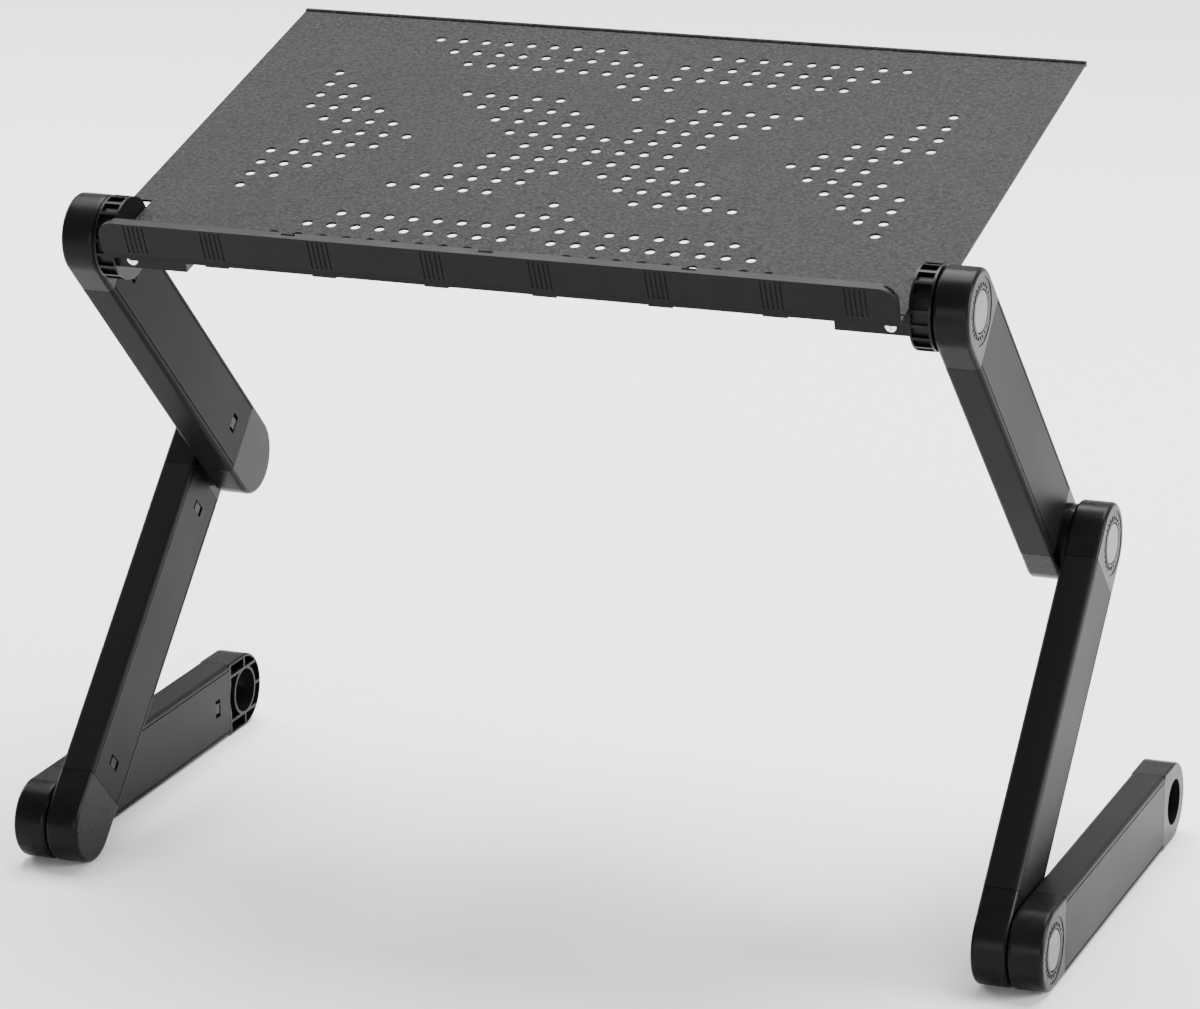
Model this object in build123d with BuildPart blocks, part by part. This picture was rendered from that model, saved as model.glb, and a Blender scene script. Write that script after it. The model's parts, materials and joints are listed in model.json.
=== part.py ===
from build123d import *
import os
from math import cos, radians, sin

# Folding laptop stand: a tray with a front lip on two folding legs.
# Millimetres, +X to the user's right, +Y to the rear, +Z up.
# The origin is on the ground, under the centre of the whole stand.

# ---- driving dimensions -------------------------------------------------
TRAY_WIDTH = 420.0
# Front and rear edges of the tray, from the middle of its hole pattern.
TRAY_FRONT, TRAY_REAR = -140.5, 130.0
TRAY_SHEET = 1.2
TRAY_TILT = 14.8
HOLE_PITCH = 12.5
HOLE_RADIUS = 2.6
BEAD_RADIUS = 1.6
NOTCH_WIDTH = 11.0
NOTCH_DEPTH = 54.5

LIP_WIDTH = 398.0
LIP_FRONT = -142.0
LIP_BOTTOM, LIP_TOP = 1.0, 18.2
LIP_LEAN = 8.0
LIP_BACK = -139.0
LIP_SEAT, LIP_SEAT_BACK = -0.4, -133.3
LIP_SKIRT = -2.0
LIP_WALL = 1.5
LIP_CORNER = 8.0
GROOVE_GROUPS = (27.0, 84.2, 139.7, 179.8)

SEGMENT_LENGTH = 216.5
UPPER_LEAN = 44.5
MIDDLE_LEAN = 45.0
LEG_RADIUS = 20.2
LEG_THICK = 17.5
TUBE_WALL = 1.6
EDGE_RADIUS = 2.2
SPLIT = 19.0
SEAM = 0.3

# Distances from the middle plane of the stand to each leg part's inner face.
HUB_FACE = 210.0
UPPER_X = 210.4
MIDDLE_X = 232.4
FOOT_X = 250.3
HUB_X = 199.5
HUB_BACK = 194.8
HUB_POCKETS = 18

# Screws in the tray's own frame: across, along, and for the front pair above its top.
TRAY_SCREW_SPOTS = [(x, y) for x in (-174.0, 174.0) for y in (-112.0, -82.0)]
FRONT_SCREW_X, FRONT_SCREW_ABOVE, ARM_FRONT = 190.6, -9.0, -128.3
ARM_START, ARM_BOTTOM = 163.0, -14.0
SCREW_RADIUS = 1.5
COLLAR_RADIUS = 2.6

# Button joint, measured outwards from the outer piece's inner face.
TEETH = 24
GAP = 0.4
OUTER_TIP, OUTER_BODY, OUTER_WIDTH = 15.2, 13.6, 1.5
INNER_TIP, INNER_BODY, INNER_WIDTH = 12.2, 10.6, 1.1
TOOTH_GAP = 0.4
BAND_BACK, BAND_FRONT = -4.2, -0.6
GEAR_FRONT = 7.5
WEB_BACK, WEB_FRONT = 8.0, 9.5
SOCKET_FLOOR = -9.7
AXLE_END = -15.0
AXLE_RADIUS = 3.0
BUTTON_RADIUS = 10.05
BUTTON_THICK = 2.6
SPRING_CONE = 35.0

# ---- joint positions ----------------------------------------------------
FOOT_FRONT_Y = -98.235
ANKLE = (FOOT_FRONT_Y, LEG_RADIUS)
KNEE = (ANKLE[0] + SEGMENT_LENGTH * cos(radians(MIDDLE_LEAN)),
        ANKLE[1] + SEGMENT_LENGTH * sin(radians(MIDDLE_LEAN)))
SHOULDER = (KNEE[0] - SEGMENT_LENGTH * cos(radians(UPPER_LEAN)),
            KNEE[1] + SEGMENT_LENGTH * sin(radians(UPPER_LEAN)))
HEEL = (ANKLE[0] + SEGMENT_LENGTH, ANKLE[1])

# Shoulder axis in the tray's own frame: distance along the tray, then above its top.
HUB_ALONG, HUB_ABOVE = -111.0, -7.7
TILT_COS, TILT_SIN = cos(radians(TRAY_TILT)), sin(radians(TRAY_TILT))
TRAY_CENTRE = (SHOULDER[0] - HUB_ALONG * TILT_COS + HUB_ABOVE * TILT_SIN,
               SHOULDER[1] - HUB_ALONG * TILT_SIN - HUB_ABOVE * TILT_COS)

SIDES = (("left", -1), ("right", 1))

# Each leg segment: pivot with the button, direction along the tube, inner face.
SEGMENTS = {
    "upper": (SHOULDER, -UPPER_LEAN, UPPER_X),
    "middle": (KNEE, 180.0 + MIDDLE_LEAN, MIDDLE_X),
    "foot": (ANKLE, 0.0, FOOT_X),
}
# Each button joint: its pivot, the outer piece's inner face, the outer piece's direction.
JOINTS = {
    "shoulder": (SHOULDER, UPPER_X, -UPPER_LEAN),
    "knee": (KNEE, MIDDLE_X, 180.0 + MIDDLE_LEAN),
    "ankle": (ANKLE, FOOT_X, 0.0),
}

os.makedirs("parts", exist_ok=True)


def save(part, label):
    part.label = label
    export_step(part, f"parts/{label}.step")
    return part


def side_plane(x, centre=(0.0, 0.0), angle=0.0):
    """Plane facing +X at x, with its own x axis turned from +Y by angle."""
    turn = radians(angle)
    return Plane(origin=(x, centre[0], centre[1]), x_dir=(0, cos(turn), sin(turn)), z_dir=(1, 0, 0))


def tray_plane(along=0.0, above=0.0):
    """Plane parallel to the tray's top; its own x axis is the stand's X axis."""
    centre_y = TRAY_CENTRE[0] + along * TILT_COS - above * TILT_SIN
    centre_z = TRAY_CENTRE[1] + along * TILT_SIN + above * TILT_COS
    return Plane(origin=(0, centre_y, centre_z), x_dir=(1, 0, 0), z_dir=(0, -TILT_SIN, TILT_COS))


def tray_side_plane(x):
    """Plane facing +X at x in the tray's frame: its own x runs rearwards, its y up off the tray."""
    return side_plane(x, TRAY_CENTRE, TRAY_TILT)


# ---- tray ---------------------------------------------------------------
def hole_spots():
    """Vent holes: a chevron at each edge and a cross in the middle."""
    spots = []
    for row in range(-5, 6):
        for col in range(8 + abs(row), min(11 + abs(row), 13) + 1):
            spots += [(col, row), (-col, row)]
    for row in range(-4, 5):
        for col in range(max(0, abs(row) - 1), abs(row) + 4):
            spots += [(col, row)] if col == 0 else [(col, row), (-col, row)]
    for step in range(5):
        last = step if step < 2 else step + 6
        for col in range(max(0, step - 2), last + 1):
            for row in (4.6 + step, -4.6 - step):
                spots += [(col, row)] if col == 0 else [(col, row), (-col, row)]
    return [(col * HOLE_PITCH, row * HOLE_PITCH) for col, row in spots]


def build_tray_panel():
    with BuildPart() as tray_panel:
        with BuildSketch(tray_plane()):
            with Locations((0, (TRAY_FRONT + TRAY_REAR) / 2)):
                Rectangle(TRAY_WIDTH, TRAY_REAR - TRAY_FRONT)
            with Locations((TRAY_WIDTH / 2, TRAY_FRONT), (-TRAY_WIDTH / 2, TRAY_FRONT)):
                Rectangle(2 * NOTCH_WIDTH, 2 * NOTCH_DEPTH, mode=Mode.SUBTRACT)
            with Locations(*hole_spots()):
                Circle(HOLE_RADIUS, mode=Mode.SUBTRACT)
        extrude(amount=-TRAY_SHEET)
        # shallow seat along the front edge for the lip
        with BuildSketch(tray_plane()):
            with Locations((0, (TRAY_FRONT + LIP_SEAT_BACK) / 2)):
                Rectangle(TRAY_WIDTH, LIP_SEAT_BACK - TRAY_FRONT)
        extrude(amount=LIP_SEAT, mode=Mode.SUBTRACT)
        # threaded collars under the sheet for the tray screws
        with BuildSketch(tray_plane(0.0, -TRAY_SHEET)):
            with Locations(*TRAY_SCREW_SPOTS):
                Circle(COLLAR_RADIUS)
        extrude(amount=TRAY_SHEET - 5.0)
        with BuildSketch(tray_plane(0.0, -5.0)):
            with Locations(*TRAY_SCREW_SPOTS):
                Circle(SCREW_RADIUS)
        extrude(amount=4.0, mode=Mode.SUBTRACT)
        # rolled bead along the rear edge
        with BuildSketch(tray_side_plane(-TRAY_WIDTH / 2)):
            with Locations((TRAY_REAR, -0.6)):
                Circle(BEAD_RADIUS)
        extrude(amount=TRAY_WIDTH)
    return save(tray_panel.part, "tray_panel")


def lip_outline(inset, top_radius):
    """Front view of the lip, inset from its outside, with round top corners."""
    width, height = LIP_WIDTH - 2 * inset, LIP_TOP - inset
    RectangleRounded(width, 2 * height, top_radius)


def build_front_lip():
    lean = sin(radians(LIP_LEAN)) / cos(radians(LIP_LEAN))
    lip_crest = LIP_FRONT - (LIP_TOP - LIP_BOTTOM) * lean
    with BuildPart() as hollow:
        with BuildSketch(tray_side_plane(-LIP_WIDTH / 2)):
            with BuildLine():
                Polyline(
                    (LIP_FRONT + LIP_WALL, LIP_WALL), (lip_crest + LIP_WALL, LIP_TOP + 1.0),
                    (LIP_BACK + 1.0, LIP_TOP + 1.0), (LIP_BACK + 1.0, LIP_WALL),
                    (LIP_FRONT + LIP_WALL, LIP_WALL),
                )
            make_face()
        extrude(amount=LIP_WIDTH)
        with BuildSketch(tray_plane(LIP_BACK, 0.0).rotated((90, 0, 0))):
            lip_outline(LIP_WALL, LIP_CORNER - LIP_WALL)
        extrude(amount=12.0, both=True, mode=Mode.INTERSECT)
    with BuildPart() as front_lip:
        # leaning bar with a thin skirt over the tray's front edge
        with BuildSketch(tray_side_plane(-LIP_WIDTH / 2)):
            with BuildLine():
                Polyline(
                    (LIP_FRONT + 0.6, LIP_SKIRT), (LIP_FRONT + 0.6, LIP_BOTTOM),
                    (LIP_FRONT, LIP_BOTTOM), (lip_crest, LIP_TOP), (LIP_BACK, LIP_TOP),
                    (LIP_BACK, LIP_SEAT), (TRAY_FRONT, LIP_SEAT), (TRAY_FRONT, LIP_SKIRT),
                    (LIP_FRONT + 0.6, LIP_SKIRT),
                )
            make_face()
        extrude(amount=LIP_WIDTH)
        # round both top corners, then hollow the back so that a rim follows the outline
        with BuildSketch(tray_plane(LIP_BACK, 0.0).rotated((90, 0, 0))):
            lip_outline(0.0, LIP_CORNER)
        extrude(amount=12.0, both=True, mode=Mode.INTERSECT)
        add(hollow.part, mode=Mode.SUBTRACT)
        # foot that rests on the tray
        with BuildSketch(tray_plane((LIP_BACK - 134.0) / 2, LIP_SEAT)):
            Rectangle(2 * 192.0, -133.5 - LIP_BACK + 0.5)
        extrude(amount=LIP_WALL - LIP_SEAT)
        # groups of shallow grooves down the leaning front
        middle = (LIP_TOP + LIP_BOTTOM) / 2
        face_plane = tray_plane((LIP_FRONT + lip_crest) / 2, middle)
        with BuildSketch(face_plane.rotated((90 + LIP_LEAN, 0, 0))):
            for x in GROOVE_GROUPS:
                for sign in (-1, 1):
                    with Locations((sign * x, 0)):
                        with GridLocations(2.4, 1, 5, 1):
                            Rectangle(0.8, LIP_TOP - LIP_BOTTOM - 2.0)
        extrude(amount=0.45, both=True, mode=Mode.SUBTRACT)
        # small tabs under the skirt, below the grooves
        for x in GROOVE_GROUPS:
            for sign in (-1, 1):
                with BuildSketch(tray_plane(LIP_FRONT + 1.4, LIP_SKIRT)):
                    with Locations((sign * x, 0)):
                        Rectangle(12.0, 1.6)
                extrude(amount=-0.7)
        # slots in the back edge of the rim, the outer two on the round corners
        with BuildSketch(tray_plane(LIP_BACK + 1.0, 0.0).rotated((90, 0, 0))):
            with Locations((-100.0, LIP_TOP), (0, LIP_TOP), (100.0, LIP_TOP)):
                Rectangle(7.2, 5.0)
            corner_x, corner_z = LIP_WIDTH / 2 - 4.6, LIP_TOP - 2.4
            with Locations(Location((corner_x, corner_z, 0), (0, 0, -38))):
                Rectangle(6.6, 4.4)
            with Locations(Location((-corner_x, corner_z, 0), (0, 0, 38))):
                Rectangle(6.6, 4.4)
        extrude(amount=3.8, mode=Mode.SUBTRACT)
    return save(front_lip.part, "front_lip")


def build_hub_bracket(name, s):
    """Ribbed shoulder hub with an arm that carries the tray's front corner."""
    socket = socket_cutter(s, SHOULDER, UPPER_X, TRAY_TILT)
    with BuildPart() as hub_bracket:
        # hub and its back boss
        with BuildSketch(side_plane(s * HUB_X, SHOULDER, TRAY_TILT)):
            Circle(LEG_RADIUS)
        extrude(amount=s * (HUB_FACE - HUB_X))
        with BuildSketch(side_plane(s * HUB_BACK, SHOULDER, TRAY_TILT)):
            Circle(5.5)
        extrude(amount=s * (HUB_X - HUB_BACK))
        # arm under the tray's front corner
        with BuildSketch(tray_side_plane(s * ARM_START)):
            with BuildLine():
                Polyline(
                    (ARM_FRONT, -TRAY_SHEET), (ARM_FRONT, ARM_BOTTOM), (-76.0, ARM_BOTTOM),
                    (-70.0, -8.0), (-70.0, -TRAY_SHEET), (ARM_FRONT, -TRAY_SHEET),
                )
            make_face()
        extrude(amount=s * (HUB_X - ARM_START))
        # hollow of the arm, open below, round the two screw posts
        with BuildSketch(tray_plane(0.0, ARM_BOTTOM)):
            for x in (169.0, 180.0):
                with Locations((s * x, -98.5)):
                    Rectangle(10.0, 42.0)
            with Locations((s * 174.0, -112.0), (s * 174.0, -82.0)):
                Circle(5.0, mode=Mode.SUBTRACT)
        extrude(amount=8.5, mode=Mode.SUBTRACT)
        # shallow pockets round the hub rim, with thin ribs between them
        with BuildSketch(side_plane(s * (HUB_X + 1.1), SHOULDER, TRAY_TILT)):
            with PolarLocations(LEG_RADIUS + 0.2, HUB_POCKETS, start_angle=8.0):
                Rectangle(4.4, 5.5)
        extrude(amount=s * 8.2, mode=Mode.SUBTRACT)
        add(socket, mode=Mode.SUBTRACT)
        # front screw hole
        with BuildSketch(tray_plane(ARM_FRONT, 0.0).rotated((90, 0, 0))):
            with Locations((s * FRONT_SCREW_X, FRONT_SCREW_ABOVE)):
                Circle(SCREW_RADIUS)
        extrude(amount=-8.0, mode=Mode.SUBTRACT)
        # stepped holes: tray collar from above, screw head from below
        for start, end, radius in ((0.0, -5.0, COLLAR_RADIUS), (-5.0, -6.0, 1.6), (-6.0, -14.0, 3.4)):
            with BuildSketch(tray_plane(0.0, start)):
                with Locations((s * 174.0, -112.0), (s * 174.0, -82.0)):
                    Circle(radius)
            extrude(amount=end - start, mode=Mode.SUBTRACT)
    return save(hub_bracket.part, f"{name}_hub_bracket")


# ---- button joint features ----------------------------------------------
def toothed_hole(body_radius, tip_radius, tooth_width):
    """Hole outline that a toothed band of the given size slides into."""
    Circle(body_radius + TOOTH_GAP)
    slot = tip_radius - body_radius + 2.0
    with PolarLocations(tip_radius + TOOTH_GAP - slot / 2, TEETH):
        Rectangle(slot, tooth_width + 2 * TOOTH_GAP)


def toothed_band(body_radius, tip_radius, tooth_width):
    """Outline of a toothed band."""
    Circle(body_radius)
    tooth = tip_radius - body_radius + 1.0
    with PolarLocations(tip_radius - tooth / 2, TEETH):
        Rectangle(tooth, tooth_width)


def socket_cutter(s, centre, face, angle):
    """Inner side of a joint: teeth near the mouth, a free chamber, then the axle hole."""
    with BuildPart() as cutter:
        with BuildSketch(side_plane(s * (face + BAND_BACK), centre, angle)):
            toothed_hole(OUTER_BODY, OUTER_TIP, OUTER_WIDTH)
        extrude(amount=s * (-GAP - BAND_BACK))
        with BuildSketch(side_plane(s * (face + SOCKET_FLOOR), centre, angle)):
            Circle(OUTER_TIP + 0.7)
        extrude(amount=s * (BAND_BACK - SOCKET_FLOOR))
        with BuildSketch(side_plane(s * (face + AXLE_END), centre, angle)):
            Circle(AXLE_RADIUS)
        extrude(amount=s * (SOCKET_FLOOR - AXLE_END))
    return cutter.part


def housing_cutter(s, centre, face, angle):
    """Outer side of a joint: sliding teeth, a web for the axle, and the button's chamber."""
    with BuildPart() as cutter:
        with BuildSketch(side_plane(s * face, centre, angle)):
            toothed_hole(INNER_BODY, INNER_TIP, INNER_WIDTH)
        extrude(amount=s * WEB_BACK)
        with BuildSketch(side_plane(s * (face + WEB_BACK), centre, angle)):
            Circle(AXLE_RADIUS + 0.05)
            with PolarLocations(7.2, 3):
                Rectangle(3.6, 5.0)
        extrude(amount=s * (WEB_FRONT - WEB_BACK))
        with BuildSketch(side_plane(s * (face + WEB_FRONT), centre, angle)):
            Circle(BUTTON_RADIUS + 0.35)
        extrude(amount=s * (LEG_THICK - WEB_FRONT))
    return cutter.part


# ---- leg segments -------------------------------------------------------
def tube_plane(pivot, angle, inner, s, distance):
    """Plane across a segment, at a distance from its pivot along the tube."""
    turn = radians(angle)
    across = (pivot[0] + distance * cos(turn), pivot[1] + distance * sin(turn))
    return Plane(
        origin=(s * (inner + LEG_THICK / 2), across[0], across[1]),
        x_dir=(1, 0, 0),
        z_dir=(0, cos(turn), sin(turn)),
    )


def build_tube(name, s, segment):
    """Hollow extrusion with rounded edges, edge grooves and snap windows."""
    pivot, angle, inner = SEGMENTS[segment]
    height = 2 * LEG_RADIUS
    length = SEGMENT_LENGTH - 2 * (SPLIT + SEAM)
    with BuildPart() as tube:
        with BuildSketch(tube_plane(pivot, angle, inner, s, SPLIT + SEAM)):
            RectangleRounded(LEG_THICK, height, EDGE_RADIUS)
            RectangleRounded(LEG_THICK - 2 * TUBE_WALL, height - 2 * TUBE_WALL, 1.0, mode=Mode.SUBTRACT)
            with GridLocations(LEG_THICK, height - 6.4, 2, 2):
                Rectangle(0.9, 0.7, mode=Mode.SUBTRACT)
        extrude(amount=length)
        # snap windows in the inner face, one near each end
        with BuildSketch(side_plane(s * inner, pivot, angle)):
            with Locations((SPLIT + 15.0, 0), (SEGMENT_LENGTH - SPLIT - 15.0, 0)):
                Rectangle(5.6, 9.6)
        extrude(amount=s * TUBE_WALL, mode=Mode.SUBTRACT)
    return save(tube.part, f"{name}_{segment}_tube")


def tube_plug(s, pivot, angle, inner, start, step):
    """Hollow plug inside the tube, with the tab that snaps into its window."""
    wide = 2 * LEG_RADIUS - 2 * TUBE_WALL - 0.4
    deep = LEG_THICK - 2 * TUBE_WALL - 0.4
    with BuildPart() as plug:
        with BuildSketch(tube_plane(pivot, angle, inner, s, start)):
            RectangleRounded(deep, wide, 1.0)
            Rectangle(deep - 3.2, wide - 3.2, mode=Mode.SUBTRACT)
        extrude(amount=step * 18.0)
        with BuildSketch(side_plane(s * (inner + 0.3), pivot, angle)):
            with Locations((start + step * 15.0, 0)):
                Rectangle(4.8, 5.6)
        extrude(amount=s * 2.0)
        # relief holes beyond both ends of the tab
        with BuildSketch(side_plane(s * (inner + 1.0), pivot, angle)):
            with Locations((start + step * 15.0, 3.8), (start + step * 15.0, -3.8)):
                Rectangle(5.0, 2.0)
        extrude(amount=s * 3.0, mode=Mode.SUBTRACT)
    return plug.part


def cap_body(s, pivot, angle, inner, end, step, edge_radius):
    """Rounded cap body, from its pivot at end towards the tube."""
    with BuildPart() as body:
        with BuildSketch(side_plane(s * inner, pivot, angle)):
            with Locations((end, 0)):
                Circle(LEG_RADIUS)
            with Locations((end + step * SPLIT / 2, 0)):
                Rectangle(SPLIT, 2 * LEG_RADIUS)
            with Locations((end + step * (SPLIT + LEG_RADIUS / 2), 0)):
                Rectangle(LEG_RADIUS, 2 * LEG_RADIUS, mode=Mode.SUBTRACT)
        extrude(amount=s * LEG_THICK)
        # round the rims of both wide faces, but not the joint with the tube
        joint = along(pivot, angle, end + step * SPLIT)
        rims = body.faces().filter_by(Axis.X).edges()
        rims = rims.filter_by(lambda e: abs(e.center().Y - joint[0]) + abs(e.center().Z - joint[1]) > 2.0)
        fillet(rims, edge_radius)
    return body.part


def along(pivot, angle, distance):
    turn = radians(angle)
    return (pivot[0] + distance * cos(turn), pivot[1] + distance * sin(turn))


def build_button_cap(name, s, segment):
    """Cap at a segment's button end, holding the housing half of the joint."""
    pivot, angle, inner = SEGMENTS[segment]
    body = cap_body(s, pivot, angle, inner, 0.0, 1, EDGE_RADIUS)
    housing = housing_cutter(s, pivot, inner, angle)
    plug = tube_plug(s, pivot, angle, inner, SPLIT, 1)
    with BuildPart() as cap:
        add(body)
        add(housing, mode=Mode.SUBTRACT)
        # degree ring round the button: a shallow recess with raised ticks
        with BuildSketch(side_plane(s * (inner + LEG_THICK), pivot, angle)):
            Circle(16.2)
            Circle(11.4, mode=Mode.SUBTRACT)
            with PolarLocations(12.6, TEETH):
                Rectangle(1.6, 0.5, mode=Mode.SUBTRACT)
        extrude(amount=-s * 0.3, mode=Mode.SUBTRACT)
        add(plug)
    end = "front" if segment == "foot" else "top"
    return save(cap.part, f"{name}_{segment}_{end}_cap")


def build_socket_cap(name, s, segment, next_face):
    """Cap at a segment's plain end, holding the socket half of the next joint."""
    pivot, angle, inner = SEGMENTS[segment]
    centre = along(pivot, angle, SEGMENT_LENGTH)
    boss = next_face - GAP - (inner + LEG_THICK)
    body = cap_body(s, pivot, angle, inner, SEGMENT_LENGTH, -1, EDGE_RADIUS)
    socket = socket_cutter(s, centre, next_face, angle)
    plug = tube_plug(s, pivot, angle, inner, SEGMENT_LENGTH - SPLIT, -1)
    with BuildPart() as cap:
        add(body)
        if boss > 0.1:
            with BuildSketch(side_plane(s * (inner + LEG_THICK), centre, angle)):
                Circle(17.8)
            extrude(amount=s * boss)
        add(socket, mode=Mode.SUBTRACT)
        add(plug)
    return save(cap.part, f"{name}_{segment}_bottom_cap")


def build_heel_cap(name, s):
    """Cap at the foot's rear end: a ribbed shell round an open ring."""
    pivot, angle, inner = SEGMENTS["foot"]
    ring, wall = 11.8, 1.5
    depth = LEG_THICK - 2.0
    body = cap_body(s, pivot, angle, inner, SEGMENT_LENGTH, -1, 1.2)
    plug = tube_plug(s, pivot, angle, inner, SEGMENT_LENGTH - SPLIT, -1)
    with BuildPart() as cap:
        add(body)
        # open pocket in the inner face, leaving the rim, the ring and the ribs
        with BuildSketch(side_plane(s * inner, HEEL)):
            Circle(LEG_RADIUS - 1.6)
            with Locations((-SPLIT / 2 + 1.0, 0)):
                Rectangle(SPLIT - 2.0, 2 * LEG_RADIUS - 3.2)
            Circle(ring + wall, mode=Mode.SUBTRACT)
            with Locations((-2.0, ring + 0.7), (-2.0, -ring - 0.7)):
                Rectangle(34.0, wall, mode=Mode.SUBTRACT)
            with Locations((0, LEG_RADIUS - 4.0), (0, -LEG_RADIUS + 4.0)):
                Rectangle(wall, 7.0, mode=Mode.SUBTRACT)
            with Locations((LEG_RADIUS - 4.0, 0)):
                Rectangle(7.0, wall, mode=Mode.SUBTRACT)
        extrude(amount=s * depth, mode=Mode.SUBTRACT)
        # small relief notches where the cap meets the tube's corners
        with BuildSketch(side_plane(s * (inner + LEG_THICK), HEEL)):
            with GridLocations(2 * (SPLIT - 0.5), 2 * LEG_RADIUS - 3.0, 1, 2):
                with Locations((-SPLIT + 0.5, 0)):
                    Rectangle(1.0, 1.6)
        extrude(amount=-s * 0.8, mode=Mode.SUBTRACT)
        # hole right through the ring
        with BuildSketch(side_plane(s * inner, HEEL)):
            Circle(ring)
        extrude(amount=s * LEG_THICK, mode=Mode.SUBTRACT)
        add(plug)
    return save(cap.part, f"{name}_foot_rear_cap")


# ---- button joint pieces ------------------------------------------------
def build_joint(name, s, joint):
    centre, face, angle = JOINTS[joint]
    # The gear's outer band meshes with the inner piece, so both bands share one tooth direction.
    inner_angle = {"shoulder": TRAY_TILT, "knee": -UPPER_LEAN, "ankle": 180.0 + MIDDLE_LEAN}[joint]

    with BuildPart() as gear:
        with BuildSketch(side_plane(s * (face + BAND_BACK), centre, inner_angle)):
            toothed_band(OUTER_BODY, OUTER_TIP, OUTER_WIDTH)
        extrude(amount=s * (BAND_FRONT - BAND_BACK))
        with BuildSketch(side_plane(s * (face + BAND_FRONT), centre, angle)):
            toothed_band(INNER_BODY, INNER_TIP, INNER_WIDTH)
        extrude(amount=s * (GEAR_FRONT - BAND_FRONT))
        with BuildSketch(side_plane(s * (face + BAND_BACK), centre, angle)):
            Circle(AXLE_RADIUS + 0.4)
        extrude(amount=s * (GEAR_FRONT - BAND_BACK), mode=Mode.SUBTRACT)
    save(gear.part, f"{name}_{joint}_lock_gear")

    with BuildPart() as button:
        with BuildSketch(side_plane(s * (face + LEG_THICK - BUTTON_THICK), centre, angle)):
            Circle(BUTTON_RADIUS)
        extrude(amount=s * BUTTON_THICK)
        outer_face = button.faces().sort_by(Axis.X)[-1 if s > 0 else 0]
        chamfer(outer_face.edges(), 0.5)
        with BuildSketch(side_plane(s * (face + GEAR_FRONT), centre, angle)):
            with PolarLocations(7.2, 3):
                Rectangle(2.8, 4.2)
        extrude(amount=s * (LEG_THICK - BUTTON_THICK - GEAR_FRONT))
    save(button.part, f"{name}_{joint}_button")

    with BuildPart() as axle:
        with BuildSketch(side_plane(s * (face + AXLE_END), centre, angle)):
            Circle(AXLE_RADIUS)
        extrude(amount=s * (WEB_FRONT - AXLE_END))
        with BuildSketch(side_plane(s * (face + WEB_FRONT), centre, angle)):
            Circle(4.6)
        extrude(amount=s * 0.9)
        # slot for a screwdriver
        with BuildSketch(side_plane(s * (face + WEB_FRONT + 0.9), centre, angle)):
            Rectangle(6.0, 1.0)
        extrude(amount=-s * 0.5, mode=Mode.SUBTRACT)
    save(axle.part, f"{name}_{joint}_axle")

    # conical, so that it packs nearly flat behind the pressed gear
    wire = 0.4
    coil_back = face + SOCKET_FLOOR + wire + 0.05
    coil_front = face + BAND_BACK - wire - 0.05
    with BuildPart() as spring:
        with BuildLine():
            coil = Helix(
                pitch=(coil_front - coil_back) / 3.0,
                height=coil_front - coil_back,
                radius=8.6,
                center=(s * coil_back, centre[0], centre[1]),
                direction=(s, 0, 0),
                cone_angle=-SPRING_CONE,
            )
        with BuildSketch(Plane(origin=coil @ 0, z_dir=coil % 0)):
            Circle(wire)
        sweep(path=coil)
    save(spring.part, f"{name}_{joint}_spring")


# ---- tray screws --------------------------------------------------------
def build_bracket_screws():
    """Pan-head screws on the front faces of the two arms."""
    head = 1.5
    with BuildPart() as screws:
        for s in (-1, 1):
            spot = (s * FRONT_SCREW_X, FRONT_SCREW_ABOVE)
            with BuildSketch(tray_plane(ARM_FRONT, 0.0).rotated((90, 0, 0))):
                with Locations(spot):
                    Circle(2.75)
            extrude(amount=head)
            with BuildSketch(tray_plane(ARM_FRONT, 0.0).rotated((90, 0, 0))):
                with Locations(spot):
                    Circle(SCREW_RADIUS)
            extrude(amount=-7.5)
            with BuildSketch(tray_plane(ARM_FRONT - head, 0.0).rotated((90, 0, 0))):
                with Locations(spot):
                    Rectangle(3.2, 0.7)
                    Rectangle(0.7, 3.2)
            extrude(amount=-0.8, mode=Mode.SUBTRACT)
    save(screws.part, "bracket_screws")


def build_tray_screws():
    """Pan-head screws that hold the tray's collars from below."""
    with BuildPart() as screws:
        with BuildSketch(tray_plane(0.0, -6.0)):
            with Locations(*TRAY_SCREW_SPOTS):
                Circle(3.0)
        extrude(amount=-1.6)
        with BuildSketch(tray_plane(0.0, -6.0)):
            with Locations(*TRAY_SCREW_SPOTS):
                Circle(SCREW_RADIUS)
        extrude(amount=4.8)
        with BuildSketch(tray_plane(0.0, -7.6)):
            with Locations(*TRAY_SCREW_SPOTS):
                Rectangle(3.2, 0.7)
                Rectangle(0.7, 3.2)
        extrude(amount=0.8, mode=Mode.SUBTRACT)
    save(screws.part, "tray_screws")


# ---- build everything ---------------------------------------------------
build_tray_panel()
build_front_lip()
build_bracket_screws()
build_tray_screws()
for side, sign in SIDES:
    build_hub_bracket(side, sign)
    for segment in SEGMENTS:
        build_tube(side, sign, segment)
        build_button_cap(side, sign, segment)
    build_socket_cap(side, sign, "upper", MIDDLE_X)
    build_socket_cap(side, sign, "middle", FOOT_X)
    build_heel_cap(side, sign)
    for joint in JOINTS:
        build_joint(side, sign, joint)
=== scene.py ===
import json
from math import cos, radians, sin

import bpy
from mathutils import Matrix, Vector


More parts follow.
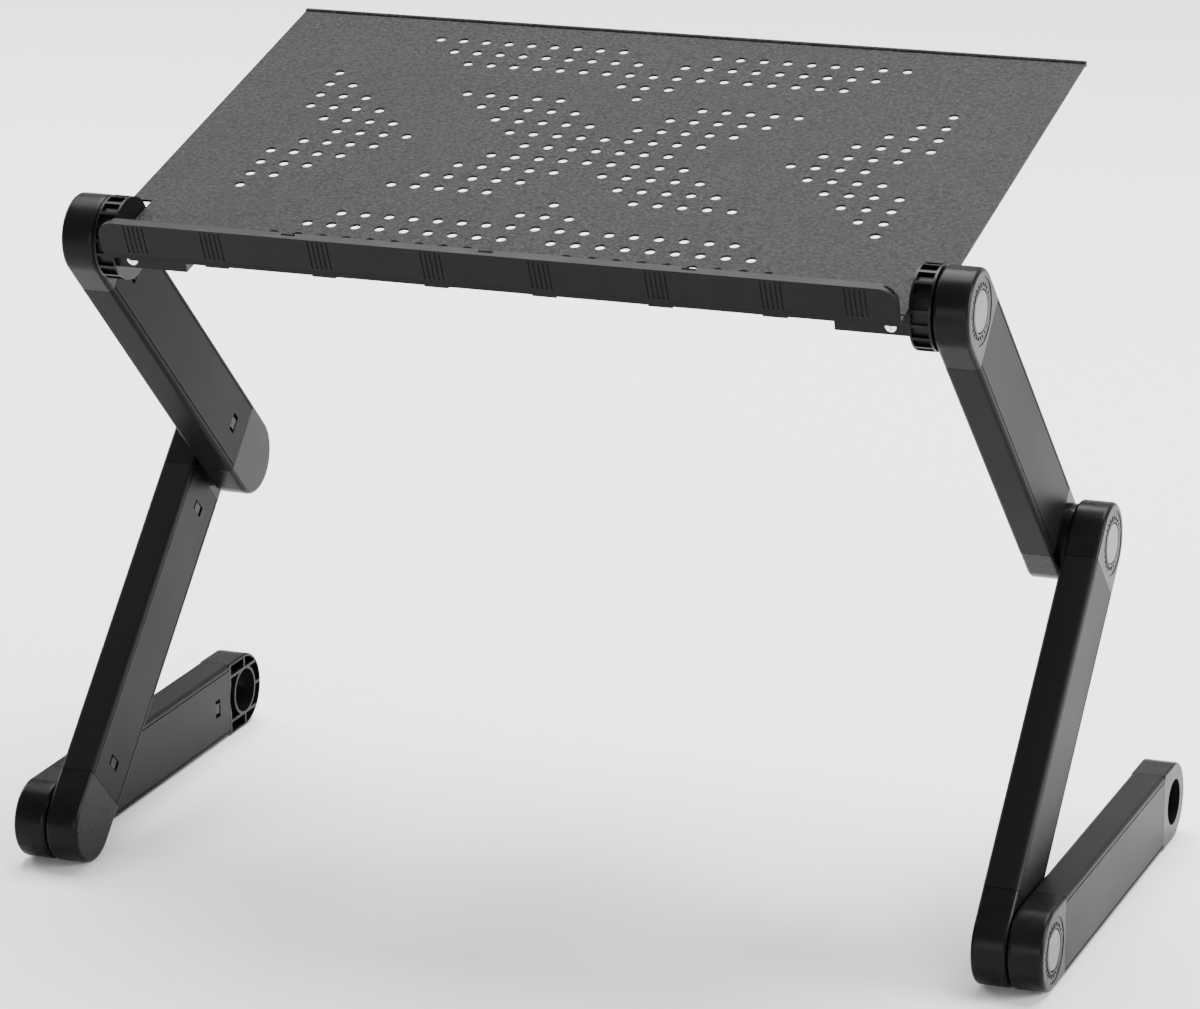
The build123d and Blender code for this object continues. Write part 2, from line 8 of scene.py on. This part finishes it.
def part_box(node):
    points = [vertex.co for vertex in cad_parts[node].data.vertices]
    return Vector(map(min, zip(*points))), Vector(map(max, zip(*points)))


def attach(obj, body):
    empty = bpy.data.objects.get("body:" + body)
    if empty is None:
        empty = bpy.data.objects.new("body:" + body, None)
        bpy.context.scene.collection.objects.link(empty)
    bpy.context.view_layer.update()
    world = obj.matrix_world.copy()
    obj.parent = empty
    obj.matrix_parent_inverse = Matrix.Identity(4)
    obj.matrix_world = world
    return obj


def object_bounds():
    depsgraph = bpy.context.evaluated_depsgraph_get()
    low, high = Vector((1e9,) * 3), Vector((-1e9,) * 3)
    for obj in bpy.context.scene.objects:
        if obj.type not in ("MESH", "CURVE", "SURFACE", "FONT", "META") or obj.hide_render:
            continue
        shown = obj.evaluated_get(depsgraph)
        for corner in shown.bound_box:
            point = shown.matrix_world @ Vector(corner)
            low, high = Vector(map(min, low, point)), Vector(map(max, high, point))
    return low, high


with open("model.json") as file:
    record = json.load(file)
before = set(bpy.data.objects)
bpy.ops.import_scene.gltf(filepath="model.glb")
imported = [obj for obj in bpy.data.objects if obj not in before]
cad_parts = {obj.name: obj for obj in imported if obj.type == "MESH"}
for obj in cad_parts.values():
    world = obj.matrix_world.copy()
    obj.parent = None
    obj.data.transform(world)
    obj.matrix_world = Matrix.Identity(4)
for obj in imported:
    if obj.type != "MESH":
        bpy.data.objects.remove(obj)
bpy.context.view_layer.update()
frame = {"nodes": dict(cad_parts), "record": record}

nodes = frame["nodes"]
SIDES = (("left", -1.0), ("right", 1.0))
JOINTS = ("shoulder", "knee", "ankle")
# the segment whose cap holds each joint's button
OUTER = {"shoulder": "upper", "knee": "middle", "ankle": "foot"}

# angles in degrees, lengths in metres
TRAY_TILT = 14.8
UPPER_LEAN = 44.5
MIDDLE_LEAN = -45.0
RIM_DEPTH = 0.0054
RIM_CORNER = 0.0080
RIM_CORNER_SLOT = 38.0
RIM_SLOTS = (-0.100, 0.0, 0.100)
# size of the near-black strips painted into the rim's slots as shadow
SLOT_SHADOW_HALF = 0.0034
SLOT_SHADOW_SWEEP = 24.0
SLOT_SHADOW_STATIONS = 11
DIGIT_RING = 0.0147
DIGIT_SIZE = 0.0026
DIGIT_STEP = 45
DIGIT_TURN = 11.0
FLOOR_HALF = 8.0
FLOOR_FRONT = -6.0
WALL_START = 3.0
WALL_CURVE = 1.5
WALL_TOP = 6.0


# ---- camera at the photograph's viewing angle ---------------------------
camera_data = bpy.data.cameras.new("camera")
camera = bpy.data.objects.new("camera", camera_data)
bpy.context.scene.collection.objects.link(camera)
bpy.context.scene.camera = camera
camera_data.sensor_width = 36.0
camera_data.lens = 149.4
camera_data.clip_end = 50.0
camera.location = (0.8594, -2.1995, 0.8827)
camera.rotation_mode = "ZYX"
camera.matrix_world = (
    Matrix.Translation(camera.location)
    @ Matrix.Rotation(radians(21.27), 4, "Z")
    @ Matrix.Rotation(radians(90.0 - 16.50), 4, "X")
    @ Matrix.Rotation(radians(-0.40), 4, "Z")
)


# ---- shader helpers -----------------------------------------------------
class Shader:
    """A Principled material with short calls for the nodes that feed it."""

    def __init__(self, name, **values):
        self.material = bpy.data.materials.new(name)
        self.material.use_nodes = True
        self.tree = self.material.node_tree
        self.bsdf = self.tree.nodes["Principled BSDF"]
        for socket, value in values.items():
            self.bsdf.inputs[socket.replace("_", " ")].default_value = value
        self.place = self.tree.nodes.new("ShaderNodeTexCoord").outputs["Object"]

    def node(self, kind, links=None, **values):
        made = self.tree.nodes.new("ShaderNode" + kind)
        for key, value in values.items():
            setattr(made, key, value)
        for socket, source in (links or {}).items():
            if isinstance(source, bpy.types.NodeSocket):
                self.tree.links.new(source, made.inputs[socket])
            else:
                made.inputs[socket].default_value = source
        return made

    def mapped(self, scale=(1, 1, 1), turn=0.0):
        """Object coordinates, turned about X and then scaled."""
        turned = self.node("Mapping", {"Vector": self.place, "Rotation": (turn, 0, 0)})
        return self.node("Mapping", {"Vector": turned.outputs[0], "Scale": scale}).outputs[0]

    def noise(self, scale, detail=3.0, roughness=0.5, place=None):
        links = {"Vector": place or self.place, "Scale": scale, "Detail": detail, "Roughness": roughness}
        return self.node("TexNoise", links).outputs["Fac"]

    def cells(self, scale, place=None, feature="F1"):
        links = {"Vector": place or self.place, "Scale": scale}
        return self.node("TexVoronoi", links, feature=feature).outputs["Distance"]

    def ramp(self, source, *stops):
        """Colour ramp through (position, grey or colour) stops."""
        made = self.node("ValToRGB", {"Fac": source})
        elements = made.color_ramp.elements
        while len(elements) < len(stops):
            elements.new(0.5)
        for element, (position, colour) in zip(elements, stops):
            element.position = position
            element.color = (colour, colour, colour, 1) if isinstance(colour, float) else (*colour, 1)
        return made.outputs["Color"]

    def mix(self, factor, a, b, kind="MIX"):
        made = self.node("Mix", data_type="RGBA", blend_type=kind)
        for index, source in ((0, factor), (6, a), (7, b)):
            if isinstance(source, bpy.types.NodeSocket):
                self.tree.links.new(source, made.inputs[index])
            else:
                made.inputs[index].default_value = source if index == 0 else (*source, 1)
        return made.outputs[2]

    def range(self, source, low, high, from_low=0.3, from_high=0.7):
        links = {"Value": source, "From Min": from_low, "From Max": from_high, "To Min": low, "To Max": high}
        return self.node("MapRange", links).outputs[0]

    def colour(self, source):
        self.tree.links.new(source, self.bsdf.inputs["Base Color"])

    def rough(self, source):
        self.tree.links.new(source, self.bsdf.inputs["Roughness"])

    def bump(self, *layers):
        """Bump from (height source, distance in metres, strength) layers."""
        normal = None
        for height, distance, strength in layers:
            links = {"Height": height, "Distance": distance, "Strength": strength}
            if normal is not None:
                links["Normal"] = normal
            normal = self.node("Bump", links).outputs[0]
        self.tree.links.new(normal, self.bsdf.inputs["Normal"])


# ---- materials ----------------------------------------------------------
def powder_coat():
    """Leathery powder coat of the tray: raised pebbles with painted highlight on their tops and painted
    shade between them, mottling, fine dust.
    """
    sh = Shader("powder_coat", Metallic=0.0, Specular_IOR_Level=0.1)
    warp = sh.noise(420.0, 2.0)
    pebbles = sh.cells(620.0, feature="SMOOTH_F1")
    grain = sh.noise(1500.0, 3.0, 0.6)
    clouds = sh.noise(14.0, 4.0, 0.6)
    # painted highlight and shade: the raised pebble centres are painted over three times paler than the
    # sunken crevices between them
    painted_pebble_light = sh.ramp(pebbles, (0.10, 0.031), (0.34, 0.017), (0.60, 0.009))
    speck = sh.ramp(grain, (0.34, 0.55), (0.50, 0.95), (0.66, 1.75))
    shade = sh.ramp(clouds, (0.3, 0.84), (0.7, 1.0))
    tone = sh.mix(1.0, sh.mix(1.0, painted_pebble_light, speck, "MULTIPLY"), shade, "MULTIPLY")
    sh.colour(tone)
    sh.rough(sh.range(warp, 0.48, 0.64))
    sh.bump((pebbles, -0.00030, 0.8), (grain, 0.00018, 0.8), (warp, 0.0002, 0.3))
    return sh.material


def anodised(name, lean, base, gloss, rough):
    """Satin dark anodised extrusion, with faint drawing lines along the tube."""
    sh = Shader(name, Metallic=0.0, Specular_IOR_Level=gloss)
    drawn = sh.noise(60.0, 4.0, 0.65, sh.mapped((14.0, 0.35, 14.0), radians(lean)))
    blasted = sh.noise(3200.0, 2.0)
    patch = sh.noise(9.0, 3.0)
    tone = sh.ramp(drawn, (0.35, base * 0.93), (0.65, base * 1.07))
    sh.colour(sh.mix(0.35, tone, sh.ramp(blasted, (0.3, base * 0.7), (0.7, base * 1.35))))
    sh.rough(sh.range(patch, rough - 0.03, rough + 0.04))
    sh.bump((blasted, 0.00004, 0.35), (drawn, 0.00002, 0.25))
    return sh.material


def moulded(name, dark, light, rough, grain_scale=2400.0, grain_depth=0.00003, gloss=0.3):
    """Moulded black plastic with a fine spark-eroded grain and faint flow marks."""
    sh = Shader(name, Specular_IOR_Level=gloss)
    grain = sh.noise(grain_scale, 2.0)
    flow = sh.noise(45.0, 4.0, 0.6)
    rub = sh.noise(240.0, 5.0, 0.7)
    tone = sh.ramp(flow, (0.3, dark), (0.75, light))
    sh.colour(sh.mix(sh.range(rub, 0.0, 0.25, 0.62, 0.75), tone, (light * 1.5, light * 1.5, light * 1.55)))
    sh.rough(sh.range(flow, rough - 0.05, rough + 0.06))
    sh.bump((grain, grain_depth, 0.5), (flow, 0.0001, 0.12))
    return sh.material


def button_metal():
    """Pale blasted aluminium of the buttons, with a fine turned finish."""
    sh = Shader("button_metal", Metallic=0.55)
    blasted = sh.noise(3600.0, 2.0)
    smudge = sh.noise(160.0, 3.0)
    sh.colour(sh.ramp(blasted, (0.3, (0.085, 0.09, 0.085)), (0.7, (0.125, 0.13, 0.125))))
    sh.rough(sh.range(smudge, 0.36, 0.46))
    sh.bump((blasted, 0.00005, 0.4))
    return sh.material


def plated(name, tone, rough, lines=900.0):
    """Plated steel with turning lines round its X axis."""
    sh = Shader(name, Metallic=1.0)
    turned = sh.noise(lines, 3.0, 0.6, sh.mapped((3.0, 0.4, 0.4)))
    spots = sh.noise(300.0, 4.0)
    shade = tuple(tone * k for k in (1.0, 1.0, 1.02))
    darker = tuple(tone * k for k in (0.72, 0.72, 0.74))
    sh.colour(sh.ramp(spots, (0.25, darker), (0.6, shade)))
    sh.rough(sh.range(turned, rough, rough + 0.12))
    sh.bump((turned, 0.00002, 0.3))
    return sh.material


def ink():
    """Pale grey printed marks."""
    sh = Shader("scale_ink", Metallic=0.0)
    worn = sh.noise(1500.0, 3.0)
    sh.colour(sh.ramp(worn, (0.3, 0.06), (0.6, 0.13)))
    sh.rough(sh.range(worn, 0.45, 0.6))
    return sh.material


finish = {
    "tray_coat": powder_coat(),
    "lip_plastic": moulded("lip_plastic", 0.006, 0.009, 0.42, 1800.0, 0.00003, gloss=0.1),
    "hub_plastic": moulded("hub_plastic", 0.003, 0.005, 0.36, gloss=0.14),
    "cap_plastic": moulded("cap_plastic", 0.005, 0.008, 0.28, gloss=0.075),
    "button_metal": button_metal(),
    "gear_steel": plated("gear_steel", 0.42, 0.32),
    "spring_steel": plated("spring_steel", 0.55, 0.22),
    "axle_steel": plated("axle_steel", 0.60, 0.25),
    "bright_screw": plated("bright_screw", 0.86, 0.14),
}
# painted shade: one anodised finish in three copies whose base tone and gloss differ only to paint the
# shading each tube's lean gets; the upper's base is darkest, the foot's lightest
tube_shade_copies = {
    "upper": anodised("anodised_upper", UPPER_LEAN, 0.005, 0.045, 0.44),
    "middle": anodised("anodised_middle", MIDDLE_LEAN, 0.006, 0.068, 0.44),
    "foot": anodised("anodised_foot", 0.0, 0.008, 0.06, 0.38),
}
slots = {row["node"]: row["material_slot"] for row in frame["record"]["subparts"]}


def paint(obj, material):
    """Gives every face of a CAD node the one material."""
    for slot in obj.material_slots:
        slot.material = material
    if not obj.material_slots:
        obj.data.materials.append(material)


for name, obj in nodes.items():
    if name.endswith("_tube"):
        paint(obj, tube_shade_copies[name.split("_")[1]])
    else:
        paint(obj, finish[slots[name]])


# ---- numerals round each button -----------------------------------------
def numerals(side, s, joint):
    """Small printed degree numbers in the ring round a button."""
    low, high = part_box(f"{side}_{joint}_button")
    centre = Vector(((high[0] if s > 0 else low[0]), (low[1] + high[1]) / 2, (low[2] + high[2]) / 2))
    face = centre.x - s * 0.0003
    meshes = []
    for step in range(0, 360, DIGIT_STEP):
        curve = bpy.data.curves.new(f"{side}_{joint}_digits_{step}", "FONT")
        curve.body = str(step)
        curve.size = DIGIT_SIZE
        curve.align_x = "CENTER"
        curve.align_y = "CENTER"
        curve.extrude = 0.00006
        text = bpy.data.objects.new(curve.name, curve)
        turn = radians(step + DIGIT_TURN)
        spot = Vector((face, centre.y + DIGIT_RING * cos(turn), centre.z + DIGIT_RING * sin(turn)))
        # the text's own up points away from the button, and it is read from outside
        up = Vector((0, cos(turn), sin(turn)))
        out = Vector((s, 0, 0))
        right = up.cross(out)
        text.matrix_world = Matrix.Translation(spot) @ Matrix((right, up, out)).transposed().to_4x4()
        bpy.context.scene.collection.objects.link(text)
        meshes.append(text)
    bpy.context.view_layer.update()
    merged = bpy.data.meshes.new(f"{side}_{joint}_numerals")
    points, faces = [], []
    for text in meshes:
        mesh = bpy.data.meshes.new_from_object(text.evaluated_get(bpy.context.evaluated_depsgraph_get()))
        start = len(points)
        points += [text.matrix_world @ v.co for v in mesh.vertices]
        faces += [[start + i for i in p.vertices] for p in mesh.polygons]
        bpy.data.objects.remove(text)
    merged.from_pydata(points, [], faces)
    obj = bpy.data.objects.new(merged.name, merged)
    bpy.context.scene.collection.objects.link(obj)
    obj.data.materials.append(scale_ink)
    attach(obj, f"{side}_{OUTER[joint]}")
    return obj


scale_ink = ink()
for side, s in SIDES:
    for joint in JOINTS:
        numerals(side, s, joint)


# ---- near-black strips in the slots of the lip's rim: painted shadow -----
def rim_insert(name, x, corner=False):
    """Domed near-black strip in one slot, painted shadow in the slot: straight on the top edge, bent round
    the lip's corners.
    """
    low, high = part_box("front_lip")
    tilt = radians(TRAY_TILT)
    along, up = Vector((0, cos(tilt), sin(tilt))), Vector((0, -sin(tilt), cos(tilt)))
    back_edge = Vector((0, low[1] + RIM_DEPTH * cos(tilt), high[2]))
    side = 1.0 if x > 0 else -1.0
    # (back, rise) points of the strip's section, from the rim's back edge
    section = [
        (-0.0026, -0.0014), (-0.0001, -0.0014), (-0.0001, -0.0005), (-0.0005, -0.0003),
        (-0.0013, -0.0002), (-0.0022, -0.0003), (-0.0026, -0.0005),
    ]
    points, faces = [], []
    for i in range(SLOT_SHADOW_STATIONS):
        u = 2.0 * i / (SLOT_SHADOW_STATIONS - 1) - 1.0
        # both end stations are a little smaller, which rounds the ends
        squash, sink = (1.0, 0.0) if abs(u) < 0.99 else (0.8, 0.0002)
        if corner:
            turn = radians(RIM_CORNER_SLOT + SLOT_SHADOW_SWEEP * u) * side
            outward = Vector((sin(turn), 0, 0)) + up * cos(turn)
            middle = Vector((x - side * RIM_CORNER, 0, 0)) - up * RIM_CORNER
            base = middle + outward * RIM_CORNER
        else:
            outward, base = up, Vector((x + SLOT_SHADOW_HALF * u, 0, 0))
        for back, rise in section:
            points.append(back_edge + base + along * back * squash + outward * (rise - sink))
    n = len(section)
    for i in range(SLOT_SHADOW_STATIONS - 1):
        for k in range(n):
            ahead = (k + 1) % n
            faces.append((i * n + k, i * n + ahead, (i + 1) * n + ahead, (i + 1) * n + k))
    faces += [tuple(range(n)), tuple((SLOT_SHADOW_STATIONS - 1) * n + k for k in reversed(range(n)))]
    mesh = bpy.data.meshes.new(name)
    mesh.from_pydata(points, [], faces)
    obj = bpy.data.objects.new(name, mesh)
    bpy.context.scene.collection.objects.link(obj)
    obj.data.materials.append(slot_shadow_black)
    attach(obj, "tray")


# near-black matte material of the slot strips: painted shadow in the slots
slot_shadow_black = moulded("slot_shadow_black", 0.0015, 0.003, 0.6, gloss=0.02)
lip_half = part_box("front_lip")[1][0]
for number, x in enumerate(RIM_SLOTS):
    rim_insert(f"rim_insert_{number}", x)
rim_insert("rim_insert_left", -lip_half, corner=True)
rim_insert("rim_insert_right", lip_half, corner=True)


# ---- stage and light ----------------------------------------------------
def stage_material():
    sh = Shader("backdrop", Roughness=0.9, Specular_IOR_Level=0.1)
    sh.bsdf.inputs["Base Color"].default_value = (0.93, 0.93, 0.93, 1)
    return sh.material


def build_floor():
    """Pale floor that curves up into a wall behind the stand."""
    low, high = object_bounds()
    profile = [(FLOOR_FRONT, 0.0), (WALL_START, 0.0)]
    for step in range(1, 13):
        turn = radians(90.0 * step / 12)
        profile.append((WALL_START + WALL_CURVE * sin(turn), WALL_CURVE * (1 - cos(turn))))
    profile.append((WALL_START + WALL_CURVE, WALL_TOP))
    points, faces = [], []
    for x in (-FLOOR_HALF, FLOOR_HALF):
        points += [(x, y, z + low[2] - 0.0002) for y, z in profile]
    n = len(profile)
    for i in range(n - 1):
        faces.append((i, i + 1, n + i + 1, n + i))
    mesh = bpy.data.meshes.new("floor")
    mesh.from_pydata(points, [], faces)
    floor = bpy.data.objects.new("floor", mesh)
    for polygon in mesh.polygons:
        polygon.use_smooth = True
    floor.data.materials.append(stage_material())
    bpy.context.scene.collection.objects.link(floor)


def softbox(name, place, target, size, power, tone=(1.0, 1.0, 1.0)):
    data = bpy.data.lights.new(name, "AREA")
    data.shape = "RECTANGLE"
    data.size, data.size_y = size
    data.energy = power
    data.color = tone
    lamp = bpy.data.objects.new(name, data)
    lamp.location = place
    lamp.rotation_euler = (Vector(target) - Vector(place)).to_track_quat("-Z", "Y").to_euler()
    bpy.context.scene.collection.objects.link(lamp)


build_floor()
world = bpy.data.worlds.new("studio")
bpy.context.scene.world = world
world.use_nodes = True
world.node_tree.nodes["Background"].inputs["Color"].default_value = (1, 1, 1, 1)
world.node_tree.nodes["Background"].inputs["Strength"].default_value = 0.26
softbox("key_right", (2.6, 0.3, 0.85), (0, 0, 0.2), (1.4, 1.2), 120.0)
softbox("top", (0.0, 1.0, 2.6), (0, 0.5, 0.0), (3.0, 2.0), 245.0)
softbox("front_low", (0.2, -2.4, 0.5), (0, 0, 0.1), (2.0, 0.6), 26.0)
softbox("left_fill", (-2.4, 1.0, 1.3), (0, 0.4, 0.1), (1.2, 1.6), 60.0)
